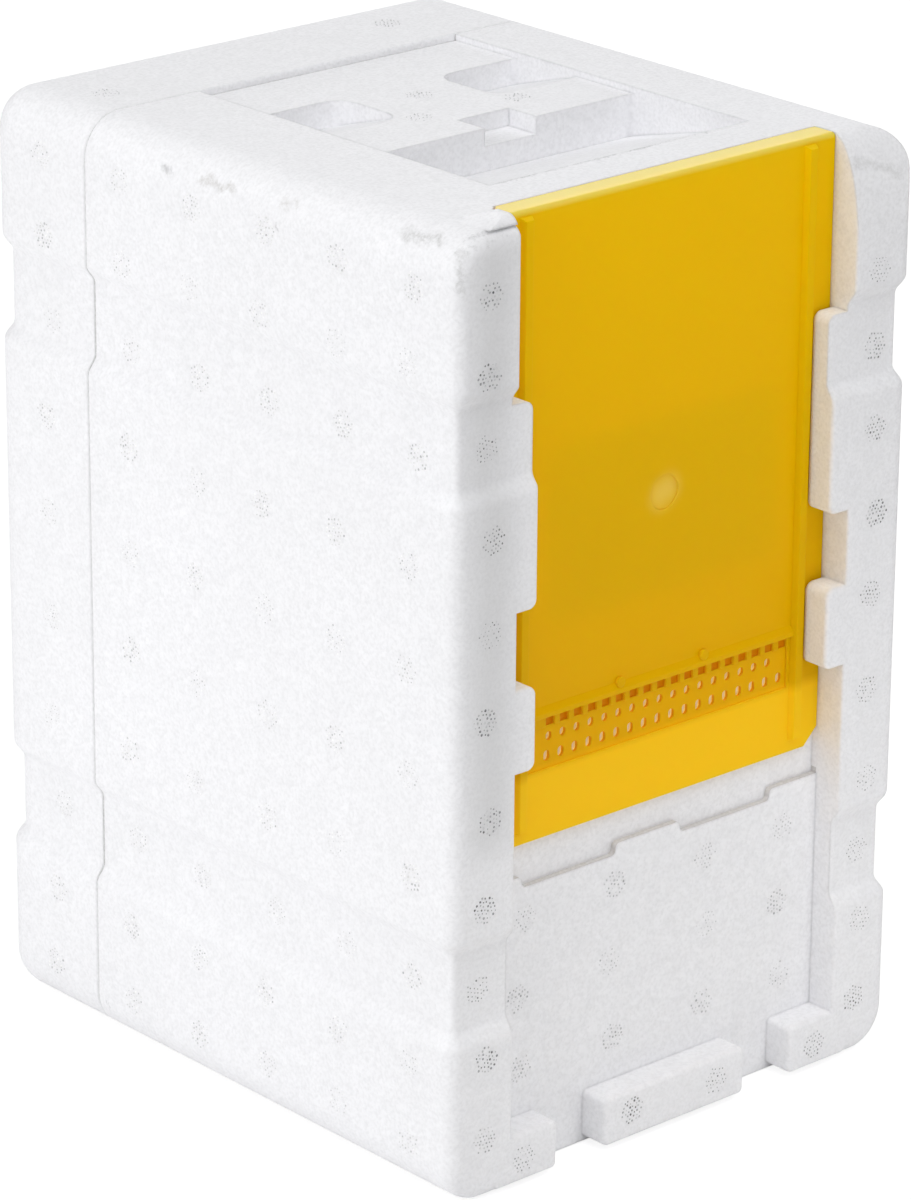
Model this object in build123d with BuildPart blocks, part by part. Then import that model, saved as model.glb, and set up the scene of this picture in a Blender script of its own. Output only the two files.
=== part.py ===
"""Small mating hive of white moulded foam, standing on its rear end.

X runs across the hive, Y from the floor rails to the lid, and Z from the rear end,
which stands on the ground, up to the entrance end. In use the hive lies on its rails
with the lid up. Lengths are in millimetres.
"""
import os
from math import cos, pi

from build123d import *

# Outer box
WIDTH = 150.0
LENGTH = 245.0
BODY_DEPTH = 137.0
LID_DEPTH = 41.0
BOX_EDGE_RADIUS = 11.0
RAIL_EDGE_RADIUS = 4.0
SEAM_EDGE_RADIUS = 0.5

# Two shallow grooves for tie straps, all round the box and its lid
STRAP_WIDTH = 18.5
STRAP_DEPTH = 2.6
STRAP_FLANK = 5.0
FLANK_STEPS = 6
REAR_STRAP_HEIGHT = 56.0
FRONT_STRAP_HEIGHT = 193.0

# Foam walls and the hollow inside them
SIDE_WALL = 20.0
END_WALL = 22.0
FLOOR_THICKNESS = 18.1
CAVITY_RADIUS = 6.0
LEDGE_WIDTH = 6.0
LEDGE_DEPTH = 13.0
LEDGE_RADIUS = 2.0

# Rails under the floor, with the tabs that hold the floor slide; the left rail's end stands a little
# proud of the box, and the right one is worn rounder
RAIL_WIDTH = 19.8
RAIL_HEIGHT = 8.3
RAIL_LIP_RADIUS = 0.6
LEFT_END_PROUD = 2.2
LEFT_END_CREST = 2.5
LEFT_END_SETBACK = 4.5
LEFT_END_RISE = 7.7
RIGHT_END_SETBACK = 10.0
RIGHT_END_RISE = 27.0
TAB_REACH = 6.5
FOAM_CORNER_RADIUS = 2.4
FOAM_EDGE_RADIUS = 1.0
SHORT_TAB_BOTTOM = 109.0
SHORT_TAB_LENGTH = 21.5
LONG_TAB_BOTTOM = 150.0
LONG_TAB_LENGTH = 51.0

# Feet at the rear end of the floor
FOOT_CORNER_RADIUS = 1.5
FOOT_SETBACK = 1.2
FOOT_LENGTH = 12.8
CENTRE_FOOT_WIDTH = 48.0
CORNER_FOOT_REACH = 15.2

# Bed of the floor slide, and the notched edge that stops the slide
BED_DEPTH = 1.9
STOP_HEIGHT = 77.5
STOP_NOTCH_WIDTH = 31.0
STOP_NOTCH_DEPTH = 3.0
STOP_NOTCH_OFFSET = 26.4
STOP_NOTCH_SHIFT = -3.2
STOP_NOTCH_RADIUS = 1.4

# Window through the floor, which the slide covers
WINDOW_WIDTH = 76.0
WINDOW_BOTTOM = 140.0
WINDOW_LENGTH = 45.0
WINDOW_RADIUS = 5.0

# Entrance end: sunk panel, porch over the entrance slot, and two finger grips
PANEL_WIDTH = 85.0
PANEL_SHIFT = 3.5
PANEL_DEPTH = 1.8
SLOT_WIDTH = 76.0
SLOT_HEIGHT = 11.5
SLOT_SILL = 1.0
PORCH_HEIGHT = 41.2
PORCH_DEPTH = 11.0
PORCH_FOOT_DEPTH = 0.5
PORCH_RADIUS = 1.5
NOTCH_WIDTH = 17.0
NOTCH_HEIGHT = 10.0
NOTCH_DEPTH = 4.6
NOTCH_SHIFT = 1.7
GRIP_WIDTH = 27.0
GRIP_HEIGHT = 23.0
GRIP_DEPTH = 7.0
GRIP_FOOT_DEPTH = 0.2
GRIP_RADIUS = 6.0
GRIP_TO_SEAM = 23.0

# Sliding plastic floor, with a lip that lies flush in the entrance end, two guide ribs and a vent grille
SLIDE_THICKNESS = 1.5
SLIDE_STOP_GAP = 8.5
SLIDE_SIDE_CLEARANCE = 0.4
SLIDE_BACK_CLEARANCE = 0.3
SLIDE_FRONT_CLEARANCE = 0.6
SLIDE_CORNER = 4.5
LIP_REACH = 7.1
LIP_THICKNESS = 1.5
LIP_CLEARANCE = 0.3
LIP_BEND_RADIUS = 1.2
LIP_CORNER = 5.5
RIB_HEIGHT = 1.6
RIB_WIDTH = 3.8
RIB_TAPER = 25.0
RIB_TAB_CLEARANCE = 0.5
RIB_SHORT_END = 3.0
GRILLE_BOTTOM = 17.5
GRILLE_HEIGHT = 11.0
GRILLE_SINK = 0.6
GRILLE_PITCH = 4.6
GRILLE_SHIFT = 2.1
GRILLE_MARGIN = 0.8
HOLE_WIDTH = 1.9
LONG_HOLE_HEIGHT = 3.2
LONG_HOLE_LENGTH = 2.8
ROUND_HOLE_HEIGHT = 8.2
ROUND_HOLE_LENGTH = 2.3
POCKET_WIDTH = 3.0
POCKET_LENGTH = 2.8
POCKET_DEPTH = 1.0
UPPER_ROW_SHIFT = 0.6
GRILLE_RIB_WIDTH = 2.8
GRILLE_RIB_CREST = 1.2
GRILLE_RIB_HEIGHT = 0.9
PIP_DIAMETER = 2.6
PIP_HEIGHT = 0.9
PIP_OFFSET = 14.0
GATE_MARK_DIAMETER = 9.0
GATE_MARK_DEPTH = 0.35

# Clear inner cover, and the fit of the lid's plug over it
SHEET_DROP = 5.0
SHEET_THICKNESS = 0.8
SHEET_CLEARANCE = 0.8
PLUG_CLEARANCE = 0.6
PLUG_GAP = 0.2
LID_HOLLOW_DEPTH = 14.0
LID_HOLLOW_RIM = 14.0
LID_HOLLOW_RADIUS = 8.0

# Feeder tub at the rear end, with its bee passage and excluder
FEEDER_LENGTH = 58.0
FEEDER_WALL = 1.6
FEEDER_CLEARANCE = 0.5
PASSAGE_WIDTH = 58.0
PASSAGE_DEPTH = 14.0
EXCLUDER_THICKNESS = 1.2
EXCLUDER_MARGIN = 5.0
EXCLUDER_FIT = 0.25
EXCLUDER_SLOT = 4.2
EXCLUDER_PITCH = 6.4
GUIDE_THICKNESS = 1.2
GUIDE_REACH = 2.4

# Wooden frames hung across the hive on the ledges
FRAME_PITCH = 27.6
FRAME_GAP = 0.4
SHOULDER_LENGTH = 13.0
TOP_BAR_WIDTH = 22.0
TOP_BAR_CLEARANCE = 0.6
END_BAR_THICKNESS = 7.0
BOTTOM_BAR_THICKNESS = 6.0
BOTTOM_BAR_WIDTH = 14.0
SIDE_BEE_SPACE = 5.5
FLOOR_BEE_SPACE = 8.0
WAX_THICKNESS = 1.8
WAX_DROP = 20.0
WAX_SIDE_GAP = 0.6
GROOVE_DEPTH = 3.0
GROOVE_CLEARANCE = 0.15

# Places worked out from the sizes above
RAIL_Y = -(BODY_DEPTH + LID_DEPTH) / 2
SEAM_Y = RAIL_Y + BODY_DEPTH
LID_Y = SEAM_Y + LID_DEPTH
PLATEAU_Y = RAIL_Y + RAIL_HEIGHT
BED_Y = PLATEAU_Y + BED_DEPTH
FLOOR_Y = BED_Y + FLOOR_THICKNESS
LEDGE_Y = SEAM_Y - LEDGE_DEPTH
SHEET_Y = SEAM_Y - SHEET_DROP
CHANNEL_WIDTH = WIDTH - 2 * RAIL_WIDTH
CAVITY_WIDTH = WIDTH - 2 * SIDE_WALL
LEDGE_SPAN = CAVITY_WIDTH + 2 * LEDGE_WIDTH
CAVITY_BOTTOM = END_WALL
CAVITY_TOP = LENGTH - END_WALL
CAVITY_MIDDLE = (CAVITY_BOTTOM + CAVITY_TOP) / 2
CAVITY_LENGTH = CAVITY_TOP - CAVITY_BOTTOM
PANEL_Z = LENGTH - PANEL_DEPTH
SILL_Y = FLOOR_Y + SLOT_SILL
PORCH_ROOF_Y = SILL_Y + PORCH_HEIGHT
GRIP_ROOF_Y = SEAM_Y - GRIP_TO_SEAM
SLIDE_BACK_Y = BED_Y - SLIDE_BACK_CLEARANCE
SLIDE_FRONT_Y = SLIDE_BACK_Y - SLIDE_THICKNESS
TAB_THICKNESS = SLIDE_FRONT_Y - SLIDE_FRONT_CLEARANCE - RAIL_Y
STRAP_HEIGHTS = (REAR_STRAP_HEIGHT, FRONT_STRAP_HEIGHT)
TABS = ((SHORT_TAB_BOTTOM, SHORT_TAB_LENGTH), (LONG_TAB_BOTTOM, LONG_TAB_LENGTH))
SIDES = (-1, 1)
LEFT_END_SLOPE = RAIL_WIDTH - BOX_EDGE_RADIUS - LEFT_END_CREST
FOAM_ROOT = RAIL_LIP_RADIUS + 2 * FOAM_CORNER_RADIUS
FOOT_Z = FOOT_SETBACK + FOOT_LENGTH / 2
SLIDE_WIDTH = CHANNEL_WIDTH - 2 * SLIDE_SIDE_CLEARANCE
SLIDE_BOTTOM = STOP_HEIGHT + SLIDE_STOP_GAP
SLIDE_LENGTH = LENGTH - SLIDE_BOTTOM
LIP_BACK_Y = SLIDE_FRONT_Y + LIP_REACH
RIB_OUTER = CHANNEL_WIDTH / 2 - TAB_REACH - RIB_TAB_CLEARANCE
RIB_X = RIB_OUTER - RIB_WIDTH / 2
GRILLE_WIDTH = 2 * (RIB_OUTER - RIB_WIDTH - GRILLE_MARGIN)
GRILLE_COLUMNS = int(GRILLE_WIDTH / GRILLE_PITCH)
PLUG_Y = SHEET_Y + SHEET_THICKNESS + PLUG_GAP
FEEDER_BOTTOM = CAVITY_BOTTOM + FEEDER_CLEARANCE
FEEDER_TOP = FEEDER_BOTTOM + FEEDER_LENGTH
FEEDER_MIDDLE = (FEEDER_BOTTOM + FEEDER_TOP) / 2
FEEDER_WIDTH = CAVITY_WIDTH - 2 * FEEDER_CLEARANCE
EXCLUDER_WIDTH = PASSAGE_WIDTH + 2 * EXCLUDER_MARGIN
EXCLUDER_HEIGHT = PASSAGE_DEPTH + EXCLUDER_MARGIN
EXCLUDER_Z = FEEDER_TOP - FEEDER_WALL - EXCLUDER_FIT - EXCLUDER_THICKNESS / 2
FRAME_START = FEEDER_TOP + FRAME_GAP
FRAME_COUNT = int((CAVITY_TOP - FRAME_START) / FRAME_PITCH)
FRAME_WIDTH = CAVITY_WIDTH - 2 * SIDE_BEE_SPACE
FRAME_WINDOW = FRAME_WIDTH - 2 * END_BAR_THICKNESS
BOTTOM_BAR_Y = FLOOR_Y + FLOOR_BEE_SPACE

os.makedirs("parts", exist_ok=True)


def layer(y):
    """Plane parallel to the lid at depth y. It faces the rails, so extrusions run towards -Y."""
    return Plane.XZ.offset(-y)


def save(piece, name):
    """Label a finished piece and write its STEP file."""
    piece.part.label = name
    export_step(piece.part, f"parts/{name}.step")


def box_outline(inset):
    """Cross-section of the whole box, lid and body together, drawn in by an even inset."""
    with BuildSketch(mode=Mode.PRIVATE) as outline:
        Rectangle(WIDTH - 2 * inset, LID_Y - RAIL_Y - 2 * inset)
        fillet(outline.vertices().group_by(Axis.Y)[0], max(RAIL_EDGE_RADIUS - inset, SEAM_EDGE_RADIUS))
        fillet(outline.vertices().group_by(Axis.Y)[-1], max(BOX_EDGE_RADIUS - inset, SEAM_EDGE_RADIUS))
    return outline.sketch


def ramp_pocket(x, foot, roof, width, radii):
    """Cutter for a pocket of the entrance end, whose floor ramps from foot to roof, each (y, depth).

    The two radii round its corners on the left and on the right.
    """
    with BuildPart() as pocket:
        with BuildSketch(Plane.XY.offset(LENGTH)) as mouth:
            with Locations((x, (foot[0] + roof[0]) / 2)):
                Rectangle(width, roof[0] - foot[0])
            fillet(mouth.vertices().group_by(Axis.X)[0], radii[0])
            fillet(mouth.vertices().group_by(Axis.X)[-1], radii[1])
        extrude(amount=-(PANEL_DEPTH + roof[1]))
        with BuildSketch(Plane.YZ.offset(x)):
            with BuildLine():
                Polyline((foot[0], PANEL_Z - foot[1]), (foot[0], LENGTH), (roof[0], LENGTH),
                         (roof[0], PANEL_Z - roof[1]), close=True)
            make_face()
        extrude(amount=width, both=True, mode=Mode.INTERSECT)
    return pocket.part


def rail_end(side, top, setback, rise):
    """Cutter that rounds the entrance end of one rail, at height top, to a quarter ellipse."""
    with BuildPart() as cutter:
        with BuildSketch(Plane.YZ.offset(side * SLIDE_WIDTH / 2)):
            with Locations((RAIL_Y + setback, top - rise)):
                Rectangle(2 * setback, 2 * rise, align=(Align.MAX, Align.MIN))
                Ellipse(setback, rise, mode=Mode.SUBTRACT)
        extrude(amount=side * 2 * RAIL_WIDTH)
    return cutter.part


def soft_block(back_y, x, z, size, corner_radius):
    """Foam block from depth back_y out to the rail faces, with round corners and softened front edges."""
    with BuildPart() as block:
        with BuildSketch(layer(back_y)):
            with Locations((x, z)):
                RectangleRounded(*size, corner_radius)
        extrude(amount=back_y - RAIL_Y)
        fillet(block.faces().sort_by(Axis.Y)[0].edges(), FOAM_EDGE_RADIUS)
    return block.part


# Outer shape of the closed box: soft edges all round, crisper ones along the rails
with BuildPart() as closed_box:
    with BuildSketch():
        Rectangle(WIDTH, LID_Y - RAIL_Y)
    extrude(amount=LENGTH)
    rail_edges = closed_box.edges().group_by(Axis.Y)[0]
    fillet([edge for edge in closed_box.edges() if edge not in rail_edges], BOX_EDGE_RADIUS)
    fillet(closed_box.edges().filter_by(Axis.Z).group_by(Axis.Y)[0], RAIL_EDGE_RADIUS)

# Ring cutter for the strap grooves: slabs round the box, each less a core whose ends flare in an S-curve
with BuildPart() as strap_grooves:
    for middle in STRAP_HEIGHTS:
        bottom = middle - STRAP_WIDTH / 2
        top = middle + STRAP_WIDTH / 2
        with BuildSketch(Plane.XY.offset(bottom - STRAP_FLANK)):
            Rectangle(2 * WIDTH, 2 * (LID_Y - RAIL_Y))
        extrude(amount=STRAP_WIDTH + 2 * STRAP_FLANK)
        with BuildSketch(Plane.XY.offset(bottom)):
            add(box_outline(STRAP_DEPTH))
        extrude(amount=STRAP_WIDTH, mode=Mode.SUBTRACT)
        for inner, flank in ((bottom, -STRAP_FLANK), (top, STRAP_FLANK)):
            for step in range(FLANK_STEPS + 1):
                way_out = step / FLANK_STEPS
                with BuildSketch(Plane.XY.offset(inner + flank * way_out)):
                    add(box_outline(STRAP_DEPTH * (1 + cos(pi * way_out)) / 2))
            loft(ruled=True, mode=Mode.SUBTRACT)

# Tabs that hold the slide, feet across the rear end: soft-edged foam blocks
foam_blocks = []
for side in SIDES:
    for bottom, length in TABS:
        tab_x = side * (CHANNEL_WIDTH - TAB_REACH + FOAM_ROOT) / 2
        tab_size = (TAB_REACH + FOAM_ROOT, length)
        tab_back = RAIL_Y + TAB_THICKNESS
        foam_blocks.append(soft_block(tab_back, tab_x, bottom + length / 2, tab_size, FOAM_CORNER_RADIUS))
    foot_x = side * (CHANNEL_WIDTH - CORNER_FOOT_REACH + FOAM_ROOT) / 2
    foot_size = (CORNER_FOOT_REACH + FOAM_ROOT, FOOT_LENGTH)
    foam_blocks.append(soft_block(PLATEAU_Y, foot_x, FOOT_Z, foot_size, FOOT_CORNER_RADIUS))
centre_foot_size = (CENTRE_FOOT_WIDTH, FOOT_LENGTH)
foam_blocks.append(soft_block(PLATEAU_Y, 0, FOOT_Z, centre_foot_size, FOOT_CORNER_RADIUS))

# Foam body of the hive
with BuildPart() as hive_body:
    add(closed_box.part)
    split(bisect_by=layer(SEAM_Y), keep=Keep.TOP)
    fillet(hive_body.faces().sort_by(Axis.Y)[-1].edges(), SEAM_EDGE_RADIUS)

    # Channel between the rails, with softened lips
    with BuildSketch() as channel:
        with Locations((0, RAIL_Y)):
            Rectangle(CHANNEL_WIDTH, RAIL_HEIGHT, align=(Align.CENTER, Align.MIN))
            Rectangle(WIDTH, RAIL_HEIGHT, align=(Align.CENTER, Align.MAX))
        lips = channel.vertices().group_by(Axis.Y)[1]
        fillet(lips.sort_by(lambda corner: abs(corner.X))[:2], RAIL_LIP_RADIUS)
    extrude(amount=LENGTH, mode=Mode.SUBTRACT)

    # Rail ends: the left one rises out of the entrance end in gentle slopes, and both are rounded
    for height, spread in ((LENGTH, LEFT_END_SLOPE), (LENGTH + LEFT_END_PROUD, 0)):
        with BuildSketch(Plane.XY.offset(height)):
            with Locations((-CHANNEL_WIDTH / 2, RAIL_Y)):
                Rectangle(LEFT_END_CREST + spread, RAIL_HEIGHT + spread, align=(Align.MAX, Align.MIN))
    loft(ruled=True)
    add(rail_end(-1, LENGTH + LEFT_END_PROUD, LEFT_END_SETBACK, LEFT_END_RISE), mode=Mode.SUBTRACT)
    add(rail_end(1, LENGTH, RIGHT_END_SETBACK, RIGHT_END_RISE), mode=Mode.SUBTRACT)

    # Bed of the slide, with a seat for its lip and two shallow notches along its stop edge
    with BuildSketch(layer(BED_Y)) as bed:
        with Locations((0, STOP_HEIGHT)):
            Rectangle(CHANNEL_WIDTH, LENGTH, align=(Align.CENTER, Align.MIN))
        for side in SIDES:
            with Locations((STOP_NOTCH_SHIFT + side * STOP_NOTCH_OFFSET, STOP_HEIGHT)):
                Rectangle(STOP_NOTCH_WIDTH, 2 * STOP_NOTCH_DEPTH)
        mouths = bed.vertices().group_by(Axis.Y)[1].sort_by(lambda corner: abs(corner.X))[:-2]
        fillet(mouths, STOP_NOTCH_RADIUS)
        fillet(bed.vertices().group_by(Axis.Y)[0], STOP_NOTCH_RADIUS)
    extrude(amount=BED_DEPTH, mode=Mode.SUBTRACT)
    with BuildSketch(Plane.XY.offset(LENGTH)) as lip_seat:
        with Locations((0, BED_Y)):
            Rectangle(CHANNEL_WIDTH, LIP_BACK_Y + LIP_CLEARANCE - BED_Y, align=(Align.CENTER, Align.MIN))
        chamfer(lip_seat.vertices().group_by(Axis.Y)[-1].sort_by(Axis.X)[0], LIP_CORNER)
    extrude(amount=-(LIP_THICKNESS + LIP_CLEARANCE), mode=Mode.SUBTRACT)

    add(foam_blocks)
    add(strap_grooves.part, mode=Mode.SUBTRACT)

    # Hollow for the frames and the feeder, the ledges that the frames hang on, and the floor window
    with BuildSketch(layer(SEAM_Y)):
        with Locations((0, CAVITY_MIDDLE)):
            RectangleRounded(CAVITY_WIDTH, CAVITY_LENGTH, CAVITY_RADIUS)
    extrude(amount=SEAM_Y - FLOOR_Y, mode=Mode.SUBTRACT)
    with BuildSketch(layer(SEAM_Y)):
        with Locations((0, CAVITY_MIDDLE)):
            RectangleRounded(LEDGE_SPAN, CAVITY_LENGTH, LEDGE_RADIUS)
    extrude(amount=LEDGE_DEPTH, mode=Mode.SUBTRACT)
    with BuildSketch(layer(FLOOR_Y)):
        with Locations((0, WINDOW_BOTTOM + WINDOW_LENGTH / 2)):
            RectangleRounded(WINDOW_WIDTH, WINDOW_LENGTH, WINDOW_RADIUS)
    extrude(amount=FLOOR_THICKNESS, mode=Mode.SUBTRACT)

    # Sunk panel of the entrance end, from the sill to the seam
    with BuildSketch(Plane.XY.offset(LENGTH)):
        with Locations((PANEL_SHIFT, SILL_Y)):
            Rectangle(PANEL_WIDTH, SEAM_Y - SILL_Y, align=(Align.CENTER, Align.MIN))
    extrude(amount=-PANEL_DEPTH, mode=Mode.SUBTRACT)

    # Porch: a ramp that deepens from the sill to a square roof, with a notch in the roof
    porch_foot = (SILL_Y, PORCH_FOOT_DEPTH)
    porch_roof = (PORCH_ROOF_Y, PORCH_DEPTH)
    porch_radii = (PORCH_RADIUS, PORCH_RADIUS)
    add(ramp_pocket(PANEL_SHIFT, porch_foot, porch_roof, PANEL_WIDTH, porch_radii), mode=Mode.SUBTRACT)
    with BuildSketch(Plane.XY.offset(LENGTH)):
        with Locations((PANEL_SHIFT + NOTCH_SHIFT, PORCH_ROOF_Y)):
            Rectangle(NOTCH_WIDTH, 2 * NOTCH_HEIGHT)
    extrude(amount=-(PANEL_DEPTH + NOTCH_DEPTH), mode=Mode.SUBTRACT)

    # Finger grips: two smaller ramps under the lid, rounder towards the middle
    grip_foot = (GRIP_ROOF_Y - GRIP_HEIGHT, GRIP_FOOT_DEPTH)
    grip_roof = (GRIP_ROOF_Y, GRIP_DEPTH)
    for side in SIDES:
        grip_x = PANEL_SHIFT + side * (PANEL_WIDTH - GRIP_WIDTH) / 2
        grip_radii = (PORCH_RADIUS, GRIP_RADIUS)[::-side]
        add(ramp_pocket(grip_x, grip_foot, grip_roof, GRIP_WIDTH, grip_radii), mode=Mode.SUBTRACT)

    # Entrance slot through the end wall, just above the inner floor
    with BuildSketch(Plane.XY.offset(LENGTH)):
        with Locations((PANEL_SHIFT, SILL_Y)):
            Rectangle(SLOT_WIDTH, SLOT_HEIGHT, align=(Align.CENTER, Align.MIN))
    extrude(amount=-END_WALL, mode=Mode.SUBTRACT)
save(hive_body, "hive_body")

# Foam lid: a plug drops into the body and holds the clear cover down
with BuildPart() as lid:
    add(closed_box.part)
    split(bisect_by=layer(SEAM_Y), keep=Keep.BOTTOM)
    fillet(lid.faces().sort_by(Axis.Y)[0].edges(), SEAM_EDGE_RADIUS)
    add(strap_grooves.part, mode=Mode.SUBTRACT)
    with BuildSketch(layer(SEAM_Y)):
        with Locations((0, CAVITY_MIDDLE)):
            RectangleRounded(LEDGE_SPAN - 2 * PLUG_CLEARANCE,
                             CAVITY_LENGTH - 2 * PLUG_CLEARANCE, LEDGE_RADIUS)
    extrude(amount=SEAM_Y - PLUG_Y)
    with BuildSketch(layer(PLUG_Y + LID_HOLLOW_DEPTH)):
        with Locations((0, CAVITY_MIDDLE)):
            RectangleRounded(LEDGE_SPAN - 2 * LID_HOLLOW_RIM,
                             CAVITY_LENGTH - 2 * LID_HOLLOW_RIM, LID_HOLLOW_RADIUS)
    extrude(amount=LID_HOLLOW_DEPTH, mode=Mode.SUBTRACT)
save(lid, "lid")

# Plastic floor slide
with BuildPart() as floor_slide:
    with BuildSketch(layer(SLIDE_BACK_Y)) as plate:
        with Locations((0, SLIDE_BOTTOM)):
            Rectangle(SLIDE_WIDTH, SLIDE_LENGTH, align=(Align.CENTER, Align.MIN))
        chamfer(plate.vertices().group_by(Axis.Y)[0], SLIDE_CORNER)
    extrude(amount=SLIDE_THICKNESS)

    # Lip bent inwards over the entrance end, its left corner cut off, and the guide ribs beside the tabs
    with BuildSketch(layer(LIP_BACK_Y)):
        with Locations((0, LENGTH)):
            Rectangle(SLIDE_WIDTH, LIP_THICKNESS, align=(Align.CENTER, Align.MAX))
    extrude(amount=LIP_REACH)
    fillet(floor_slide.faces().sort_by(Axis.Y)[0].edges().sort_by(Axis.Z)[-1], LIP_BEND_RADIUS)
    chamfer(floor_slide.edges().filter_by(Axis.Z).group_by(Axis.Y)[-1].sort_by(Axis.X)[0], LIP_CORNER)
    with BuildSketch(layer(SLIDE_FRONT_Y)):
        for side in SIDES:
            with Locations((side * RIB_X, LENGTH - LIP_THICKNESS)):
                rib_length = SLIDE_LENGTH - LIP_THICKNESS - RIB_SHORT_END
                Rectangle(RIB_WIDTH, rib_length, align=(Align.CENTER, Align.MAX))
    extrude(amount=RIB_HEIGHT, taper=RIB_TAPER)

    # Vent grille: a sunk strip with a row of long holes and, shifted a little, one of round holes
    grille_z = SLIDE_BOTTOM + GRILLE_BOTTOM
    pocket_z = grille_z + GRILLE_HEIGHT
    rib_z = pocket_z + POCKET_LENGTH
    upper_x = GRILLE_SHIFT + UPPER_ROW_SHIFT
    with BuildSketch(layer(SLIDE_FRONT_Y)):
        with Locations((0, grille_z)):
            Rectangle(GRILLE_WIDTH, GRILLE_HEIGHT, align=(Align.CENTER, Align.MIN))
    extrude(amount=-GRILLE_SINK, mode=Mode.SUBTRACT)
    with BuildSketch(layer(SLIDE_BACK_Y)):
        with Locations((GRILLE_SHIFT, grille_z + LONG_HOLE_HEIGHT)):
            with GridLocations(GRILLE_PITCH, 0, GRILLE_COLUMNS, 1):
                SlotOverall(LONG_HOLE_LENGTH, HOLE_WIDTH, rotation=90)
        with Locations((upper_x - GRILLE_PITCH / 2, grille_z + ROUND_HOLE_HEIGHT)):
            with GridLocations(GRILLE_PITCH, 0, GRILLE_COLUMNS - 1, 1):
                SlotOverall(ROUND_HOLE_LENGTH, HOLE_WIDTH, rotation=90)
    extrude(amount=SLIDE_THICKNESS, mode=Mode.SUBTRACT)

    # Over the holes, blind pockets under a sloping rib with two pips
    with BuildSketch(layer(SLIDE_FRONT_Y)):
        with Locations((upper_x, pocket_z)):
            with GridLocations(GRILLE_PITCH, 0, GRILLE_COLUMNS, 1):
                Rectangle(POCKET_WIDTH, POCKET_LENGTH, align=(Align.CENTER, Align.MIN))
    extrude(amount=-POCKET_DEPTH, mode=Mode.SUBTRACT)
    with BuildSketch(Plane.YZ):
        with BuildLine():
            rib_front = SLIDE_FRONT_Y - GRILLE_RIB_HEIGHT
            Polyline((SLIDE_FRONT_Y, rib_z), (rib_front, rib_z), (rib_front, rib_z + GRILLE_RIB_CREST),
                     (SLIDE_FRONT_Y, rib_z + GRILLE_RIB_WIDTH), close=True)
        make_face()
    extrude(amount=RIB_X, both=True)
    with BuildSketch(layer(SLIDE_FRONT_Y)):
        with Locations((-PIP_OFFSET, rib_z + GRILLE_RIB_WIDTH), (PIP_OFFSET, rib_z + GRILLE_RIB_WIDTH)):
            Circle(PIP_DIAMETER / 2)
    extrude(amount=PIP_HEIGHT)

    # Round mark left by moulding, at the middle of the plate
    with BuildSketch(layer(SLIDE_FRONT_Y)):
        with Locations((0, (SLIDE_BOTTOM + LENGTH) / 2)):
            Circle(GATE_MARK_DIAMETER / 2)
    extrude(amount=-GATE_MARK_DEPTH, mode=Mode.SUBTRACT)
save(floor_slide, "floor_slide")

# Clear inner cover, lying on the frames and the feeder
with BuildPart() as cover_sheet:
    with BuildSketch(layer(SHEET_Y + SHEET_THICKNESS)):
        with Locations((0, CAVITY_MIDDLE)):
            RectangleRounded(LEDGE_SPAN - 2 * SHEET_CLEARANCE,
                             CAVITY_LENGTH - 2 * SHEET_CLEARANCE, LEDGE_RADIUS)
    extrude(amount=SHEET_THICKNESS)
save(cover_sheet, "cover_sheet")

# Feeder tub, with a bee passage in its front wall and guides for the excluder
with BuildPart() as feeder_tub:
    with BuildSketch(layer(SHEET_Y)):
        with Locations((0, FEEDER_MIDDLE)):
            RectangleRounded(FEEDER_WIDTH, FEEDER_LENGTH, CAVITY_RADIUS)
    extrude(amount=SHEET_Y - FLOOR_Y)
    with BuildSketch(layer(SHEET_Y)):
        with Locations((0, FEEDER_MIDDLE)):
            RectangleRounded(FEEDER_WIDTH - 2 * FEEDER_WALL, FEEDER_LENGTH - 2 * FEEDER_WALL,
                             CAVITY_RADIUS - FEEDER_WALL)
    extrude(amount=SHEET_Y - FLOOR_Y - FEEDER_WALL, mode=Mode.SUBTRACT)
    guide_size = (GUIDE_REACH + EXCLUDER_FIT + GUIDE_THICKNESS,
                  2 * EXCLUDER_FIT + EXCLUDER_THICKNESS + GUIDE_THICKNESS)
    guide_x = EXCLUDER_WIDTH / 2 - GUIDE_REACH + guide_size[0] / 2
    with BuildSketch(layer(SHEET_Y)):
        for side in SIDES:
            with Locations((side * guide_x, FEEDER_TOP - FEEDER_WALL)):
                Rectangle(*guide_size, align=(Align.CENTER, Align.MAX))
    extrude(amount=EXCLUDER_HEIGHT + GUIDE_THICKNESS)
    with BuildSketch(layer(SHEET_Y)):
        with Locations((0, EXCLUDER_Z)):
            Rectangle(EXCLUDER_WIDTH + 2 * EXCLUDER_FIT, EXCLUDER_THICKNESS + 2 * EXCLUDER_FIT)
    extrude(amount=EXCLUDER_HEIGHT, mode=Mode.SUBTRACT)
    with BuildSketch(layer(SHEET_Y)):
        with Locations((0, FEEDER_TOP)):
            Rectangle(PASSAGE_WIDTH, 2 * FEEDER_WALL)
    extrude(amount=PASSAGE_DEPTH, mode=Mode.SUBTRACT)
save(feeder_tub, "feeder_tub")

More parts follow.
